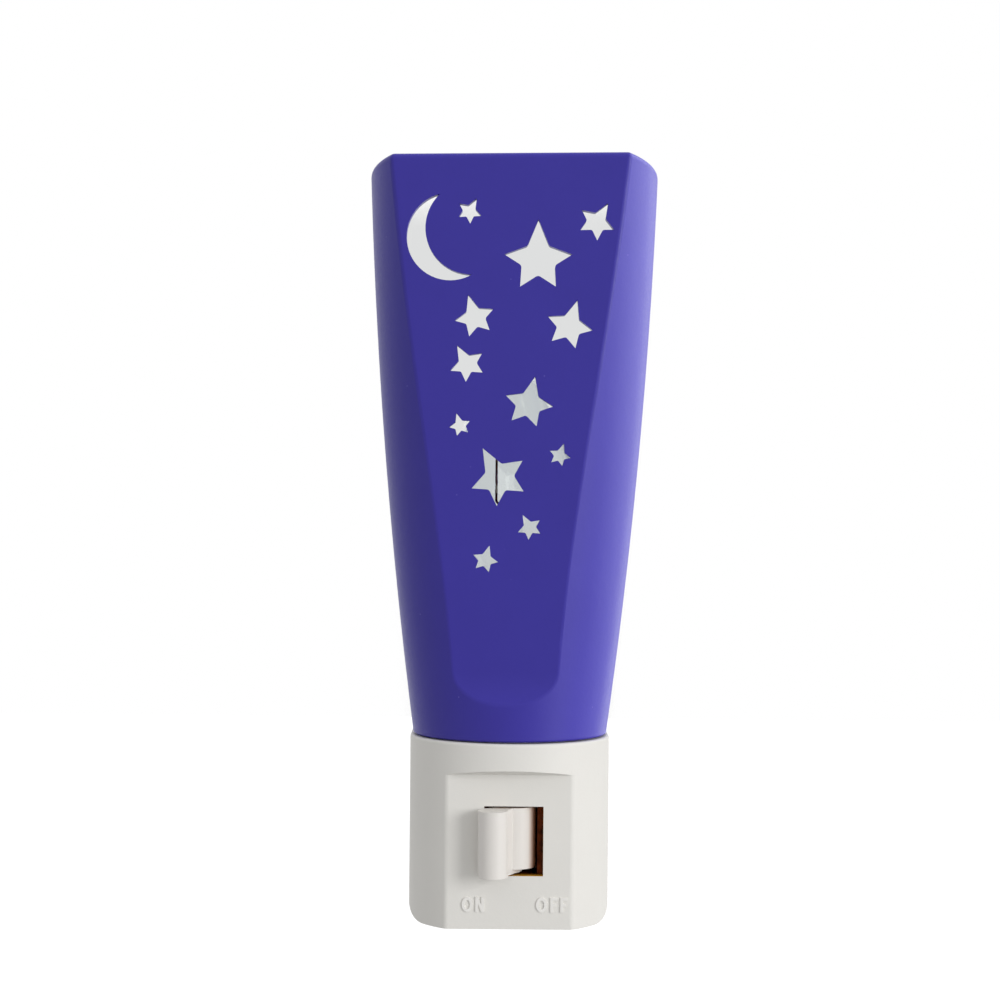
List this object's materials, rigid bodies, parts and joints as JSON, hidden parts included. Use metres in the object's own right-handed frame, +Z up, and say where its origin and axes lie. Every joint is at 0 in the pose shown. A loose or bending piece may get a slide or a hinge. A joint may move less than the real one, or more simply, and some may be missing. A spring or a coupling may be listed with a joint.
{
  "type": "night light",
  "caption": "Plug-in night light: flaring violet shade with a flat front and cut-out moon and stars over a small screw bulb, on a rounded base with a swing switch and plug blades.",
  "frame": {"origin": "midway between the two plug blades on the flat back face that meets the wall plate", "axes": "+Z up, +Y into the wall along the blades, the front of the shade and the switch face -Y, +X to the right seen from the front"},
  "size_m": [0.0464, 0.0504, 0.1218],
  "materials": {
    "violet_plastic": "satin, moulded through",
    "white_plastic": "fine matt",
    "blade_brass": "bright stamped",
    "contact_brass": "rolled sheet",
    "contact_silver": "silver contact",
    "phenolic_brown": "moulded phenolic",
    "vulcanised_fibre": "pressed fibre board",
    "zinc_steel": "zinc plated",
    "clear_glass": "clear blown",
    "cap_brass": "rolled and bright",
    "black_glass": "black insulating glass",
    "solder": "dull solder",
    "lead_wire": "copper-clad",
    "tungsten": "drawn tungsten"
  },
  "bodies": {
    "base": {"front_housing": "white_plastic", "rear_housing": "white_plastic", "cover_screws": "zinc_steel", "line_blade": "blade_brass", "neutral_blade": "blade_brass", "neutral_strap": "contact_brass", "blade_clamp": "phenolic_brown", "contact_studs": "contact_silver", "lamp_lead": "contact_brass", "socket_disc": "vulcanised_fibre", "centre_contact": "contact_brass", "contact_rivet": "contact_brass", "screw_shell": "contact_brass", "switch_plate": "vulcanised_fibre"},
    "switch": {"switch_lever": "white_plastic", "bridge_contact": "contact_brass"},
    "shade": {"shade": "violet_plastic"},
    "bulb_tip": {"bulb_tip": "solder"},
    "bulb": {"bulb_cap": "cap_brass", "bulb_insulator": "black_glass", "bulb_glass": "clear_glass", "glass_stem": "clear_glass", "lead_wires": "lead_wire", "filament": "tungsten"}
  },
  "joints": [
    {"name": "switch_throw", "type": "hinge", "parent": "base", "child": "switch", "pos_m": [0.0007, -0.0254, -0.00085], "axis": [0, 0, 1], "range_deg": [0, 60]},
    {"name": "shade_lift", "type": "slide", "parent": "base", "child": "shade", "axis": [0, 0, 1], "range_m": [0, 0.075]},
    {"name": "bulb_turn", "type": "hinge", "parent": "bulb_tip", "child": "bulb", "pos_m": [0, -0.0146, 0.02015], "axis": [0, 0, 1], "range_deg": [0, 1080]},
    {"name": "bulb_rise", "type": "slide", "parent": "base", "child": "bulb_tip", "axis": [0, 0, 1], "range_m": [0, 0.00762]}
  ],
  "couplings": [
    {"joint": "bulb_rise", "follows": "bulb_turn", "m_per_rad": 0.00040425}
  ]
}
